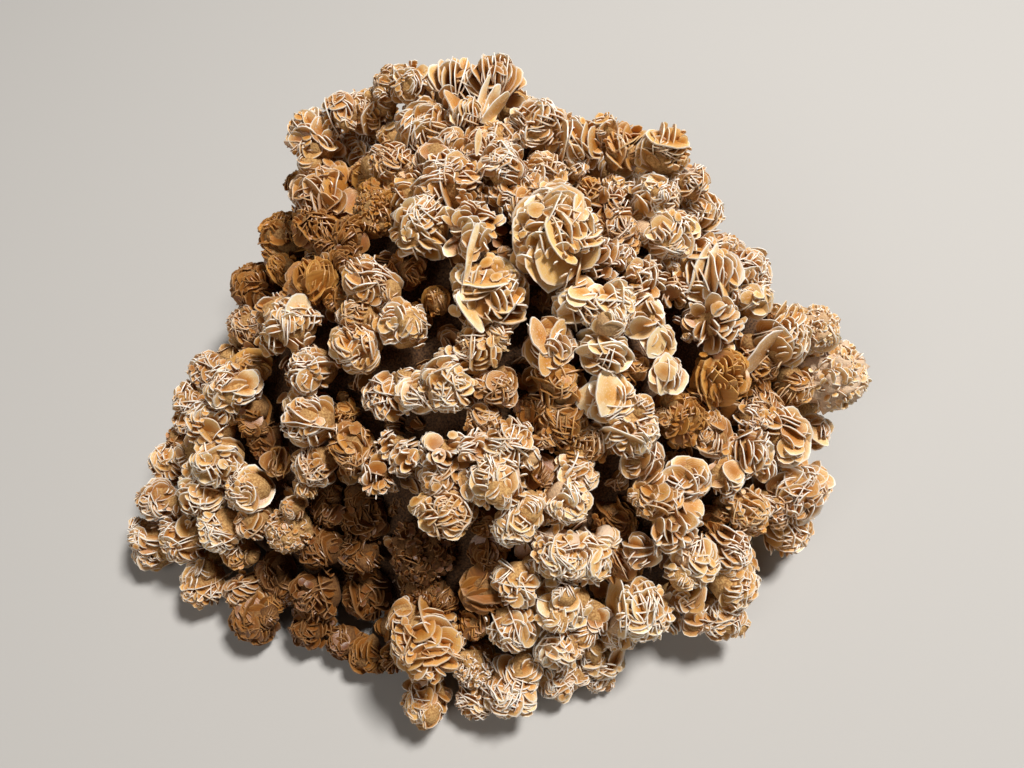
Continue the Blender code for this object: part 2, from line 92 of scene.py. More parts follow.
# Columns to a metre, one metre from the eye.
EYE_REACH = 770.0
GRID_CENTRE = (512.0, 384.0)
ROSETTES = {
    "ridge": (
        (316, 142, 28, 0, "r"), (343, 112, 20, 2, "r"), (360, 152, 26, 0, "r"),
        (384, 125, 20, 4, "r"), (394, 168, 25, 2, "r"), (388, 86, 15, 4, "r"),
        (411, 86, 22, 0, "r"), (428, 132, 30, 2, "r"), (456, 92, 32, 0, "f"),
        (494, 88, 32, 0, "f"), (474, 120, 22, 2, "f"), (302, 186, 16, 6, "r"),
        (330, 200, 38, 0, "r"), (378, 196, 20, 8, "r"), (450, 185, 34, 2, "r"),
        (503, 168, 26, 0, "r"), (540, 128, 28, 0, "r"), (545, 175, 24, 6, "r"),
        (580, 146, 26, 0, "b"), (604, 128, 14, 4, "r"), (624, 152, 28, 0, "b"),
        (662, 156, 26, 2, "b"), (655, 200, 26, 0, "r"), (690, 183, 20, 4, "r"),
        (700, 214, 24, 2, "r"), (668, 236, 30, 0, "r"), (590, 196, 20, 10, "r"),
        (610, 205, 22, 6, "x"),
    ),
    "shoulder": (
        (286, 238, 26, 4, "r"), (316, 232, 24, 0, "r"), (352, 236, 20, 4, "r"),
        (378, 215, 26, 10, "s"), (424, 230, 34, -2, "r"), (470, 235, 34, -4, "x"),
        (492, 297, 40, -2, "b"), (556, 238, 50, -8, "b"), (520, 205, 20, 6, "r"),
        (600, 262, 28, 6, "x"), (636, 280, 28, 2, "x"), (618, 232, 22, 4, "r"),
        (258, 288, 26, 6, "r"), (285, 270, 18, 4, "r"), (318, 282, 27, 0, "f"),
        (350, 262, 20, 4, "r"), (372, 285, 27, -2, "r"), (410, 270, 20, 10, "r"),
        (706, 278, 34, 0, "f"), (744, 272, 24, 2, "r"), (668, 290, 22, 6, "x"),
        (750, 300, 22, 2, "r"), (695, 250, 20, 6, "x"),
    ),
    "upper_face": (
        (247, 325, 20, 6, "r"), (270, 343, 14, 0, "r"), (295, 326, 30, -4, "r"),
        (316, 368, 26, 0, "r"), (362, 316, 22, -2, "r"), (360, 350, 28, 0, "r"),
        (404, 328, 28, 0, "r"), (340, 300, 16, 2, "r"), (438, 302, 16, 12, "r"),
        (480, 346, 28, 0, "r"), (548, 345, 30, -2, "d"), (580, 306, 28, -4, "d"),
        (606, 312, 30, -6, "r"), (641, 318, 24, -4, "d"), (603, 352, 28, -6, "d"),
        (657, 342, 19, -4, "d"), (665, 374, 20, -6, "d"), (634, 368, 18, 8, "r"),
        (545, 300, 14, 20, "r"), (710, 325, 32, 0, "x"), (775, 340, 32, 0, "b"),
        (715, 378, 32, 2, "b"), (750, 360, 22, 8, "r"), (812, 330, 26, 2, "s"),
        (830, 375, 36, 0, "s"), (790, 385, 24, 10, "r"),
    ),
    "middle_face": (
        (212, 370, 20, 6, "r"), (232, 388, 27, -4, "r"), (252, 366, 18, 6, "r"),
        (192, 402, 18, 6, "r"), (188, 418, 14, 4, "r"), (215, 424, 26, 0, "r"),
        (252, 410, 20, 10, "r"), (312, 421, 28, -4, "r"), (344, 412, 16, 12, "r"),
        (388, 396, 26, 4, "r"), (418, 394, 24, -2, "r"), (448, 386, 30, -6, "r"),
        (498, 388, 24, 4, "r"), (484, 418, 20, 8, "r"), (510, 443, 27, -2, "r"),
        (472, 450, 24, 2, "x"), (559, 384, 28, 2, "r"), (560, 420, 28, 6, "r"),
        (609, 400, 27, -2, "d"), (628, 428, 30, -2, "r"), (593, 440, 22, 8, "r"),
        (575, 452, 20, 10, "r"), (680, 420, 28, 10, "r"), (640, 458, 24, 8, "d"),
        (714, 436, 22, 4, "d"), (742, 452, 28, -2, "f"), (778, 438, 32, 0, "d"),
        (812, 432, 18, 2, "d"), (760, 405, 20, 8, "r"), (722, 475, 22, 0, "d"),
        (538, 472, 20, 12, "d"), (530, 410, 16, 14, "r"),
    ),
    "lower_face": (
        (178, 438, 12, 8, "r"), (220, 460, 28, -2, "r"), (172, 464, 22, 4, "r"),
        (280, 462, 16, 6, "d"), (318, 463, 23, 0, "r"), (357, 451, 28, 4, "r"),
        (396, 446, 20, 2, "x"), (412, 458, 22, 0, "x"), (442, 452, 24, -2, "x"),
        (380, 474, 24, 0, "x"), (441, 478, 22, 0, "r"), (449, 512, 29, -2, "r"),
        (498, 480, 31, -6, "r"), (514, 520, 26, -4, "r"), (577, 472, 22, 2, "r"),
        (567, 497, 25, -4, "r"), (540, 508, 18, 6, "r"), (685, 478, 24, 2, "d"),
        (656, 498, 26, 4, "r"), (668, 522, 32, -2, "x"), (640, 550, 20, 2, "d"),
        (745, 508, 24, 4, "r"), (788, 490, 34, 2, "r"), (784, 530, 26, 4, "r"),
        (205, 490, 27, -2, "r"), (160, 500, 21, 4, "r"), (252, 490, 23, -2, "r"),
        (235, 476, 16, 4, "r"), (256, 520, 20, 0, "r"), (307, 486, 15, -2, "r"),
        (295, 506, 14, -2, "r"), (268, 440, 20, 22, "r"),
    ),
    "front": (
        (152, 540, 20, 2, "r"), (190, 536, 26, -2, "r"), (226, 528, 26, -4, "r"),
        (172, 562, 20, 0, "r"), (240, 552, 18, 2, "r"), (290, 530, 24, 4, "s"),
        (328, 505, 20, 26, "r"), (366, 512, 26, 34, "r"), (325, 546, 26, 22, "r"),
        (361, 549, 24, 30, "r"), (424, 550, 34, 24, "s"), (405, 500, 16, 46, "r"),
        (484, 520, 18, 18, "r"), (490, 552, 20, 20, "r"), (516, 580, 25, 2, "r"),
        (485, 590, 25, 10, "d"), (560, 551, 31, -8, "r"), (586, 555, 30, -4, "r"),
        (545, 540, 16, 2, "r"), (692, 560, 28, -2, "r"), (728, 550, 26, 4, "r"),
        (730, 583, 28, 0, "r"), (640, 606, 34, -4, "r"), (620, 630, 20, 2, "r"),
        (685, 592, 20, 8, "d"), (620, 560, 24, 14, "r"), (276, 570, 20, 20, "r"),
    ),
    "front_edge": (
        (216, 590, 24, 0, "r"), (248, 590, 22, 0, "r"), (268, 626, 24, 2, "r"),
        (285, 590, 18, 14, "r"), (320, 594, 27, 10, "r"), (316, 630, 22, 4, "r"),
        (346, 642, 18, 4, "r"), (368, 652, 20, 4, "r"), (396, 655, 18, 8, "b"),
        (427, 638, 37, -4, "r"), (430, 698, 25, 0, "r"), (474, 665, 22, 6, "s"),
        (476, 697, 22, 2, "r"), (508, 682, 30, 0, "r"), (513, 624, 27, -2, "r"),
        (474, 622, 18, 12, "r"), (564, 600, 30, -4, "r"), (560, 640, 28, -4, "r"),
        (558, 678, 23, 0, "r"), (597, 655, 26, 0, "r"), (718, 614, 26, 2, "r"),
        (693, 622, 14, 6, "d"), (592, 680, 16, 2, "r"), (425, 590, 24, 26, "s"),
        (374, 600, 26, 60, "r"),
    ),
    "gaps": (
        (612, 520, 26, 30, "r"), (712, 520, 20, 20, "r"), (752, 385, 18, 12, "r"),
        (446, 600, 14, 14, "r"), (366, 114, 21, 6, "r"), (478, 148, 20, 6, "r"),
        (384, 102, 18, 3, "r"),
    ),
}


def edge_at(angle):
    """Reach and height of the mound's edge at an angle in degrees, and the power of its slope."""
    for (start, *low), (end, *high) in zip(EDGE, EDGE[1:]):
        if start <= angle <= end:
            share = (angle - start) / (end - start)
            reach, height, power = (a + (b - a) * share for a, b in zip(low, high))
            return reach / 1000, height / 1000, power
    raise ValueError("an angle lies from 0 to 360")


def mound_height(x, y):
    """Height of the rosette centres above the foot, falling away beyond the edge."""
    away = Vector((x, y)) - SUMMIT
    reach, low, power = edge_at(math.degrees(math.atan2(away.y, away.x)) % 360)
    share = away.length / reach
    if share >= 1:
        return low - (away.length - reach) * OUTER_FALL
    return low + (SUMMIT_HEIGHT - low) * (1 - share**power) ** SLOPE_ROUNDING


def sight_line(column, row):
    """Direction from the eye through a point of the grid, one unit deep."""
    across = (column - GRID_CENTRE[0]) / EYE_REACH
    up = (GRID_CENTRE[1] - row) / EYE_REACH
    return Vector((
        across,
        math.cos(EYE_PITCH) + up * math.sin(EYE_PITCH),
        -math.sin(EYE_PITCH) + up * math.cos(EYE_PITCH),
    ))


def on_grid(spot):
    """Column, row and depth of a point as seen from the eye."""
    away = spot - EYE
    depth = away.dot(sight_line(*GRID_CENTRE))
    up = away.y * math.sin(EYE_PITCH) + away.z * math.cos(EYE_PITCH)
    return (
        GRID_CENTRE[0] + EYE_REACH * away.x / depth,
        GRID_CENTRE[1] - EYE_REACH * up / depth,
        depth,
    )


UNDERSIDE_CLEAR = 1.12
UNDERSIDE_GAP = 0.0008
# A sight line is followed from and to these depths, in mm.
SIGHT_DEPTHS = (260, 640)


def above_foot(spot, radius):
    """The spot, raised where a rosette of this radius would reach below the underside."""
    return Vector((spot.x, spot.y, max(spot.z, radius * UNDERSIDE_CLEAR + UNDERSIDE_GAP)))


def place(column, row, half, sunk):
    """Centre and radius of a rosette: where its sight line meets the mound, or passes closest."""
    line = sight_line(column, row)
    best = None
    for depth in range(*SIGHT_DEPTHS):
        spot = EYE + line * (depth / 1000)
        clear = spot.z - mound_height(spot.x, spot.y) + sunk / 1000
        if best is None or clear < best[0]:
            best = (clear, spot, depth / 1000)
        if clear <= 0:
            break
    _, spot, depth = best
    radius = half * depth / EYE_REACH
    return above_foot(spot, radius), radius


rows = [row for region in ROSETTES.values() for row in region]
placed = [place(*row[:4]) for row in rows]

# One seed for all that grows by chance, so that it grows the same way each time.
SEED = 7
noise.seed_set(SEED)

# Plainer rosettes stand in rings round the summit, where the placed ones leave room and hide
# them from the eye. A pass has their radius, how deep they sit, and within how many half widths
# of a placed rosette they count as hidden.
FILL_PASSES = ((0.0145, 0.0, 1.2), (0.0105, 0.0, 1.2), (0.0110, 0.006, 1.6))
FILL_TURNS = 120
FILL_SIZES = (0.85, 1.2)
# The least distance between two centres, in radii.
FILL_SPACING = 1.75
# Each ring as a share of the reach, and how far down the wall it is.
FILL_RINGS = (
    (0.25, 0), (0.45, 0), (0.62, 0), (0.76, 0), (0.88, 0), (0.97, 0), (1.0, 0.25), (0.97, 0.5),
    (0.93, 0.75), (0.90, 1.0), (0.8, 1.0),
)
SCREEN_POINTS = 8


def screened(spot, radius, screen, spread):
    """Whether the placed rosettes, spread a little, stand between the eye and this one."""
    column, row, depth = on_grid(spot)
    half = EYE_REACH * radius / depth
    for point in range(SCREEN_POINTS):
        x = column + half * math.cos(point * math.tau / SCREEN_POINTS)
        y = row + half * math.sin(point * math.tau / SCREEN_POINTS)
        if not any(
            (x - c) ** 2 + (y - r) ** 2 < (spread * h) ** 2 and d < depth
            for c, r, h, d in screen
        ):
            return False
    return True


def fill():
    """Rosettes on the flanks and the back, ring by ring, where the placed ones leave room."""
    chance = random.Random(SEED)
    screen = []
    for spot, radius in placed:
        column, row, depth = on_grid(spot)
        screen.append((column, row, EYE_REACH * radius / depth, depth))
    found = []
    for (size, sunk, spread), (share, drop) in itertools.product(FILL_PASSES, FILL_RINGS):
        for turn in range(FILL_TURNS):
            angle = turn * 360 / FILL_TURNS + chance.uniform(-1, 1)
            radius = size * chance.uniform(*FILL_SIZES)
            reach, low, _ = edge_at(angle % 360)
            x = SUMMIT.x + share * reach * math.cos(math.radians(angle))
            y = SUMMIT.y + share * reach * math.sin(math.radians(angle))
            z = mound_height(x, y) if drop == 0 else low * (1 - drop)
            spot = above_foot(Vector((x, y, z - sunk)), radius)
            gaps = ((spot - other).length for other, _ in placed + found)
            if min(gaps) >= FILL_SPACING * size and screened(spot, radius, screen, spread):
                found.append((spot, radius))
    return found


others = fill()


def sink_at(x, y):
    """How far the rosettes near a spot are sunk, in metres: the core is hollowed there."""
    # The first weight keeps the core whole where no rosette is near.
    total, weight = 0.0, 1e-3
    for (_, _, _, sunk, _), (spot, _) in zip(rows, placed):
        gap = (spot.x - x) ** 2 + (spot.y - y) ** 2
        near = math.exp(-gap / (2 * HOLLOW_SPREAD**2))
        total += near * sunk / 1000
        weight += near
    return total / weight


def core_point(angle, share, lift):
    """A point of the core's skin; lift runs from the underside up the wall, and 1 is on top."""
    reach, low, _ = edge_at(angle)
    away = (reach - CORE_DEPTH) * share
    x = SUMMIT.x + away * math.cos(math.radians(angle))
    y = SUMMIT.y + away * math.sin(math.radians(angle))
    if lift == 0:
        return Vector((x, y, 0))
    top = max(mound_height(x, y) - CORE_DEPTH - sink_at(x, y), low * CORE_TOP_LEAST)
    spot = Vector((x, y, low * CORE_WALL * lift if lift < 1 else top))
    for scale, high in CORE_LUMPS:
        spot += noise.noise_vector(spot * scale) * high
    spot.z = max(spot.z, CORE_CLEAR)
    return spot


def linked(name, mesh, material):
    """The mesh as one piece of the cluster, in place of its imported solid."""
    made = bpy.data.objects.new(name, mesh)
    bpy.context.scene.collection.objects.link(made)
    mesh.materials.append(material)
    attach(made, "root")
    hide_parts("sand_rose")
    return made


# No two points of a mesh lie equally far along this.
SORT_ALONG = Vector((1.0, 1.618, 2.718))


def in_order(body):
    """Points and faces sorted by place, because operators leave them in any order."""
    body.verts.sort(key=lambda vert: vert.co.dot(SORT_ALONG))
    body.faces.sort(key=lambda face: face.calc_center_median().dot(SORT_ALONG))
    body.verts.index_update()


def sandy_core():
    """A disc whose rim is extruded ring by ring up the wall and over the top."""
    body = bmesh.new()
    ring = bmesh.ops.create_circle(body, cap_ends=True, segments=CORE_TURNS, radius=1)["verts"]
    angles = [math.degrees(math.atan2(vert.co.y, vert.co.x)) % 360 for vert in ring]
    for number, (share, lift) in enumerate(CORE_RINGS):
        if number:
            inside = set(ring)
            edges = [edge for edge in body.edges if inside.issuperset(edge.verts)]
            made = bmesh.ops.extrude_edge_only(body, edges=edges)["geom"]
            # The fresh points come in their own order, and still stand on the old ones.
            fresh = {tuple(vert.co): vert for vert in made if isinstance(vert, bmesh.types.BMVert)}
            ring = [fresh[tuple(vert.co)] for vert in ring]
        for vert, angle in zip(ring, angles):
            vert.co = core_point(angle, share, lift)
    bmesh.ops.contextual_create(body, geom=ring)
    bmesh.ops.poke(body, faces=[face for face in body.faces if len(face.verts) == CORE_TURNS])
    bmesh.ops.triangulate(body, faces=body.faces)
    bmesh.ops.recalc_face_normals(body, faces=body.faces)
    in_order(body)
    mesh = bpy.data.meshes.new("sandy_core")
    body.to_mesh(mesh)
    body.free()
    mesh.shade_smooth()
    return mesh


def node(tree, kind, links=(), **settings):
    """A shader node with these settings, its sockets linked or set."""
    made = tree.nodes.new(kind)
    for label, value in settings.items():
        setattr(made, label, value)
    for socket, value in dict(links).items():
        if isinstance(value, bpy.types.NodeSocket):
            tree.links.new(value, made.inputs[socket])
        else:
            made.inputs[socket].default_value = value
    return made


def ramp(tree, value, *stops):
    """The value turned into a colour, or a grey where a stop is one number; its ends come first."""
    made = node(tree, "ShaderNodeValToRGB", {"Fac": value})
    tones = made.color_ramp.elements
    for number, (position, colour) in enumerate(stops):
        stop = tones[number] if number < 2 else tones.new(position)
        stop.position = position
        stop.color = (*colour, 1) if isinstance(colour, tuple) else (colour,) * 3 + (1,)
    return made.outputs["Color"]


def read(tree, label, output="Fac"):
    """A value that each point of the mesh carries."""
    return node(tree, "ShaderNodeAttribute", attribute_name=label).outputs[output]


def mix(tree, factor, first, second, blend="MIX"):
    """Two colours blended: sockets 6 and 7 of the node are its colours, and 2 is the result."""
    links = {0: factor, 6: first, 7: second}
    return node(tree, "ShaderNodeMix", links, data_type="RGBA", blend_type=blend).outputs[2]


def grains(tree, spot, scale, detail):
    """Grains from 0 to 1, so many to a metre."""
    links = {"Vector": spot, "Scale": scale, "Detail": detail}
    return node(tree, "ShaderNodeTexNoise", links).outputs["Fac"]


SAND_GRAINS = 900
SAND_HIGH = 0.0006
# Sand is multiplied by the stain where its tint is low, and washed clean where it is high. A heart's low
# tint also carries the painted shade of its rosette; the core has no tint, so it takes the whole stain.
SAND_STAIN_AND_SHADE = ((0.0, (0.30, 0.22, 0.14)), (0.75, 1.0))
SAND_CLEAN = ((0.88, 0.0), (1.0, 0.75))
CLEAN_SAND = (0.82, 0.64, 0.48, 1)


def sand(name, dark, light):
    """Cemented sand: grains in two tones, rough all over."""
    made = bpy.data.materials.new(name)
    made.use_nodes = True
    tree = made.node_tree
    shader = tree.nodes["Principled BSDF"]
    shader.inputs["Roughness"].default_value = 0.9
    grain = grains(tree, node(tree, "ShaderNodeTexCoord").outputs["Object"], SAND_GRAINS, 3)
    tint = read(tree, "tint")
    tones = ramp(tree, grain, (0.35, dark), (0.68, light))
    tones = mix(tree, 1.0, tones, ramp(tree, tint, *SAND_STAIN_AND_SHADE), "MULTIPLY")
    tones = mix(tree, ramp(tree, tint, *SAND_CLEAN), tones, CLEAN_SAND)
    tree.links.new(tones, shader.inputs["Base Color"])
    rough = node(tree, "ShaderNodeBump", {"Height": grain, "Strength": 0.8, "Distance": SAND_HIGH})
    tree.links.new(rough.outputs["Normal"], shader.inputs["Normal"])
    return made


cemented_sand = sand("cemented_sand", (0.11, 0.06, 0.035), (0.60, 0.40, 0.25))
core = linked("sandy_core", sandy_core(), cemented_sand)

# ------------------------------------------------------------------------------ rosettes
# A rosette is a ball of lens-shaped gypsum blades, each about a millimetre thick, that grew
# through each other and round the sand. Their frosted rims stand out on the ball, and the clear
# honey-coloured faces show between them. They are fused to the core and to their neighbours.
MOUND_MIDDLE = Vector((0.0117, -0.0174, 0.0400))
# Thickness of a blade at its rim; its middle is up to three times as thick.
BLADE_THICK = 0.00055
TYPICAL_SIZE = 0.013
# A larger rosette has more blades, and they don't grow as much as it does: powers of its size.
MORE_WITH_SIZE = 1.4
FINER_WITH_SIZE = 0.45
# A ball is fuller on one side, as a share of its radius.
BALL_LEAST = 0.97
BALL_BULGE = 0.2
# Rosettes above this radius have up to two buds, with a radius of so much of theirs.
BUD_FROM = 0.009
BUD_SIZES = (0.42, 0.62)
# The spine of a fan runs up the front of the mound.
UPHILL = Vector((0, math.sin(EYE_PITCH), math.cos(EYE_PITCH)))
# How much of a rosette of each kind its sandy heart fills, and how finely it is divided.
HEART_SHARE = {"r": 0.78, "b": 0.68, "f": 0.55, "d": 0.65, "x": 0.55, "s": 0.88}
HEART_FINENESS = 2
MASS_FINENESS = 4
hearts = []
# Groups of petals of each kind: how many in a typical rosette, from and to how many degrees they
# lean, and from and to what share of the radius they reach.
BALL_PETALS = ((15, (0, 30), (0.28, 0.62)), (6, (20, 45), (0.35, 0.58)), (9, (0, 60), (0.12, 0.25)))
BROAD_PETALS = ((7, (0, 40), (0.6, 0.85)), (5, (0, 30), (0.3, 0.5)), (8, (0, 60), (0.12, 0.25)))
DISC_PETALS = ((8, (0, 50), (0.3, 0.6)),)
# Further blades of a fan, with the degrees between two, of discs, with the radians, and shards.
FAN_BLADES = 13
FAN_STEP = 14
DISC_BLADES = 6
DISC_STEP = 2.4
SHARD_BLADES = 20
# Up to what reach a blade has how many sides, and how many rings its faces have.
FINENESS = ((0.0036, 7, 1), (0.0062, 11, 1), (0.0095, 15, 1), (0.1, 22, 2))
# Half a blade's section for so many rings: share of the reach, and height against the rim's.
SECTIONS = {1: ((0, 2), (1, 1)), 2: ((0, 2), (0.62, 1.6), (1, 1))}
SHARP_FROM = math.radians(38)
# Waves of a blade's outline, and of its face out of its own plane: how many go round it, and
# how high they are as a share of its reach.
OUTLINE_WAVES = ((2, 0.06), (3, 0.05), (5, 0.03), (8, 0.02), (13, 0.016), (19, 0.014), (29, 0.014))
RIPPLES = ((2, 1.0), (3, 0.7), (5, 0.45), (7, 0.25))
# Tint runs from brown at 0 to light honey at 1, and pale says how far frost covers the blades. For
# rosettes, both also carry painted light and shade from their height, how far they are sunk and the shade
# patches.
Rose = collections.namedtuple("Rose", "heart size outward chance tint pale bulge")
Blade = collections.namedtuple(
    "Blade", "heart size tip centre normal along reach thick swell narrow bow wave tint pale"
)


def any_way(chance):
    """A direction picked at random."""
    return Vector([chance.gauss(0, 1) for _ in "xyz"]).normalized()


def blade(
    rose, way, normal, reach, out=1.0, rise=None, along=None, thick=1.0, narrow=1.0, bow=0.15,
    wave=0.05,
):
    """A blade whose far rim, up its rise, lies on the way at a share of the rosette's radius."""
    chance = rose.chance
    out *= BALL_LEAST + BALL_BULGE * max(0.0, way.dot(rose.bulge)) ** 2
    tip = rose.heart + way * out * rose.size
    return Blade(
        rose.heart, rose.size, tip, tip - (rise or way) * reach, normal.normalized(),
        along or any_way(chance), reach, BLADE_THICK * thick * chance.uniform(0.75, 1.25),
        chance.uniform(0.3, 1.0), narrow * chance.uniform(0.72, 1.1), chance.uniform(-bow, bow),
        chance.uniform(0.4, 1.3) * wave, rose.tint + chance.uniform(-0.15, 0.15),
        rose.pale + chance.uniform(-0.2, 0.2),
    )


def through_blades(rose):
    """A pack of nearly parallel blades that cross the whole ball, seen on edge from outside."""
    chance = rose.chance
    way = any_way(chance)
    way = (way - rose.outward * way.dot(rose.outward) * 0.85).normalized()
    slices = chance.randint(2, 4)
    for turn in range(slices):
        offset = (turn + 0.5) / slices * 1.2 - 0.6 + chance.uniform(-0.1, 0.1)
        normal = (way + any_way(chance) * 0.22).normalized()
        reach = rose.size * math.sqrt(1 - offset**2) * chance.uniform(0.85, 1.02)
        yield blade(rose, normal, normal, reach, offset + reach / rose.size)


def petals(rose, count, leans, reaches):
    """Blades that rise from the ball at a lean in degrees, alone or two or three together."""
    chance = rose.chance
    for _ in range(count):
        way = (any_way(chance) + rose.outward * 0.8).normalized()
        aside = way.cross(any_way(chance)).normalized()
        lean = math.radians(chance.uniform(*leans))
        rise = way * math.cos(lean) + aside * math.sin(lean)
        normal = rise.cross(way.cross(aside))
        reach = rose.size * chance.uniform(*reaches)
        reach *= min(1.0, TYPICAL_SIZE / rose.size) ** FINER_WITH_SIZE
        for _ in range(chance.choice((1, 2, 2, 3))):
            yield blade(rose, way, normal, reach, chance.uniform(0.93, 1.06), rise)
            way = (way + aside * chance.uniform(0.14, 0.26)).normalized()
            reach *= chance.uniform(0.75, 0.95)
            normal = (normal + any_way(chance) * 0.2).normalized()


def petal_groups(rose, groups):
    """Petals group by group, more of them on a larger rosette."""
    for count, leans, reaches in groups:
        count = round(count * (rose.size / TYPICAL_SIZE) ** MORE_WITH_SIZE)
        yield from petals(rose, count, leans, reaches)


def buds(rose):
    """Smaller rosettes grown onto the sides of a larger one."""
    chance = rose.chance
    for _ in range(chance.choice((0, 1, 2, 2)) if rose.size > BUD_FROM else 0):
        way = any_way(chance)
        way = (way - rose.outward * way.dot(rose.outward) * 0.6).normalized()
        size = rose.size * chance.uniform(*BUD_SIZES)
        bud = rose._replace(
            heart=rose.heart + way * (rose.size - size * 0.35), size=size,
            outward=(way + rose.outward).normalized(), tint=rose.tint + chance.uniform(-0.15, 0.15),
        )
        hearts.append((bud.heart, size * HEART_SHARE["r"], HEART_FINENESS, bud.tint))
        yield from petals(bud, 7, (0, 40), (0.35, 0.7))


def ball(rose):
    """Blades on edge all round, crumbs of crystal between them, and buds."""
    return [*through_blades(rose), *petal_groups(rose, BALL_PETALS), *buds(rose)]


def broad(rose):
    """A rosette of few large curved blades, with small ones between them."""
    return [*petal_groups(rose, BROAD_PETALS)]


def fan(rose):
    """Blades spread like the leaves of a book, over a few short ones."""
    chance = rose.chance
    hinge = UPHILL - rose.outward * UPHILL.dot(rose.outward) + any_way(chance) * 0.15
    hinge.normalize()
    found = [*petals(rose, 14, (0, 50), (0.2, 0.55))]
    for turn in range(FAN_BLADES):
        degrees = FAN_STEP * (turn - (FAN_BLADES - 1) / 2) + chance.uniform(-7, 7)
        way = Matrix.Rotation(math.radians(degrees), 3, hinge) @ rose.outward
        reach = rose.size * chance.uniform(0.45, 0.78)
        found.append(blade(
            rose, way, way.cross(hinge) + any_way(chance) * 0.15, reach, chance.uniform(0.92, 1.1),
            bow=0.08,
        ))
    return found


def discs(rose):
    """Broad flat blades that face out over a few on edge."""
    chance = rose.chance
    facing = (rose.outward + (EYE - rose.heart).normalized()).normalized()
    found = [*through_blades(rose), *petal_groups(rose, DISC_PETALS)]
    for turn in range(DISC_BLADES):
        swing = Matrix.Rotation(turn * DISC_STEP + chance.uniform(-0.3, 0.3), 3, facing)
        way = swing @ facing.orthogonal()
        way = (way.normalized() + facing * chance.uniform(0.2, 1.0)).normalized()
        reach = rose.size * chance.uniform(0.5, 0.72)
        out = chance.uniform(0.35, 0.55) + reach / rose.size
        found.append(blade(
            rose, way, facing + any_way(chance) * 0.4, reach, out, thick=1.3, wave=0.03,
        ))
    return found


def shards(rose):
    """Long pointed blades that stick out every way."""
    chance = rose.chance
    found = [*petals(rose, 12, (0, 50), (0.2, 0.5))]
    for _ in range(SHARD_BLADES):
        way = (any_way(chance) + rose.outward * 0.8).normalized()
        reach = rose.size * chance.uniform(0.35, 0.65)
        found.append(blade(
            rose, way, way.cross(any_way(chance)), reach, chance.uniform(0.9, 1.15), along=way,
            thick=1.2, narrow=chance.uniform(0.3, 0.65), bow=0.05,
        ))
    return found


MASS_CRUMBS = 260
MASS_LIGHTER = 0.2
MASS_FROSTIER = 0.5


def sandy_mass(rose):
    """A lump of sand crusted with crumbs of crystal."""
    rose = rose._replace(tint=rose.tint + MASS_LIGHTER, pale=rose.pale + MASS_FROSTIER)
    chance = rose.chance
    found = [*petals(rose, 3, (0, 50), (0.3, 0.6))]
    for _ in range(MASS_CRUMBS):
        way = (any_way(chance) + rose.outward * 0.7).normalized()
        reach = rose.size * chance.uniform(0.06, 0.15)
        found.append(blade(rose, way, any_way(chance), reach, chance.uniform(0.88, 1.06), thick=0.9))
    return found


KINDS = {"r": ball, "b": broad, "f": fan, "d": discs, "x": shards, "s": sandy_mass}
# Centre and radius of the heart of every rosette.
packed = np.array([(*spot, size * HEART_SHARE["r"]) for spot, size in placed + others])


def free(blades):
    """The blades that don't end inside another rosette's heart."""
    tips = np.array([blade.tip for blade in blades])
    gaps = np.linalg.norm(tips[:, None] - packed[None, :, :3], axis=2) - packed[:, 3]
    return [blade for blade, gap in zip(blades, gaps.min(axis=1)) if gap > 0]


def blade_pattern(turns, rings):
    """A disc of unit reach, thicker in the middle than at its rim, spun from its section."""
    shape = bmesh.new()
    upper = SECTIONS[rings]
    section = [*upper, *((share, -high) for share, high in reversed(upper))]
    verts = [shape.verts.new((share, 0, high)) for share, high in section]
    edges = [shape.edges.new(pair) for pair in zip(verts, verts[1:])]
    bmesh.ops.spin(
        shape, geom=verts + edges, axis=(0, 0, 1), cent=(0, 0, 0), angle=math.tau, steps=turns,
        use_merge=True,
    )
    bmesh.ops.remove_doubles(shape, verts=shape.verts, dist=1e-5)
    bmesh.ops.triangulate(shape, faces=shape.faces)
    bmesh.ops.recalc_face_normals(shape, faces=shape.faces)
    in_order(shape)
    places = np.array([vert.co for vert in shape.verts])
    faces = np.array([[vert.index for vert in face.verts] for face in shape.faces])
    shape.free()
    return places, faces


